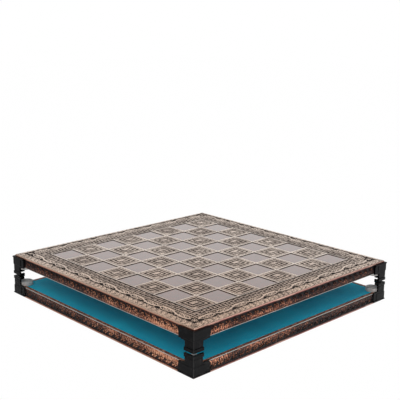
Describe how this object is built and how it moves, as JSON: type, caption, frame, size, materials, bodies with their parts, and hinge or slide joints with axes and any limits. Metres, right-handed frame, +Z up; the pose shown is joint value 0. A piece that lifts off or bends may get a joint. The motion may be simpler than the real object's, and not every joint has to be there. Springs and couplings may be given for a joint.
{
  "type": "enamelled metal chessboard",
  "caption": "Square chessboard with an embossed metal top, sunken enamel squares, ornamental metal edges, a cloth-lined underside and moulded black corner feet.",
  "frame": {"origin": "centre of the board, on the plane that the four feet stand on", "axes": "+Z up, out of the playing surface; +X and +Y along two sides of the board"},
  "size_m": [0.4472, 0.4472, 0.0355],
  "materials": {
    "embossed_metal": "antiqued copper-bronze, polished on the ridges and dark in the hollows",
    "enamel": "smooth glossy dark red-brown enamel",
    "strip_metal": "copper with a dark patina, bright on the relief",
    "black_casting": "satin black",
    "grey_pad": "matt light grey",
    "core_wood": "raw pressed wood board",
    "lining_cloth": "teal felt"
  },
  "bodies": {
    "root": {"top_plate": "embossed_metal", "enamel_a2": "enamel", "enamel_a4": "enamel", "enamel_a6": "enamel", "enamel_a8": "enamel", "enamel_b1": "enamel", "enamel_b3": "enamel", "enamel_b5": "enamel", "enamel_b7": "enamel", "enamel_c2": "enamel", "enamel_c4": "enamel", "enamel_c6": "enamel", "enamel_c8": "enamel", "enamel_d1": "enamel", "enamel_d3": "enamel", "enamel_d5": "enamel", "enamel_d7": "enamel", "enamel_e2": "enamel", "enamel_e4": "enamel", "enamel_e6": "enamel", "enamel_e8": "enamel", "enamel_f1": "enamel", "enamel_f3": "enamel", "enamel_f5": "enamel", "enamel_f7": "enamel", "enamel_g2": "enamel", "enamel_g4": "enamel", "enamel_g6": "enamel", "enamel_g8": "enamel", "enamel_h1": "enamel", "enamel_h3": "enamel", "enamel_h5": "enamel", "enamel_h7": "enamel", "edge_strip_front": "strip_metal", "edge_strip_right": "strip_metal", "edge_strip_back": "strip_metal", "edge_strip_left": "strip_metal", "corner_foot_front_left": "black_casting", "corner_foot_front_right": "black_casting", "corner_foot_back_right": "black_casting", "corner_foot_back_left": "black_casting", "corner_pad_front_left": "grey_pad", "corner_pad_front_right": "grey_pad", "corner_pad_back_right": "grey_pad", "corner_pad_back_left": "grey_pad", "core_panel": "core_wood", "underside_lining": "lining_cloth"}
  },
  "joints": []
}
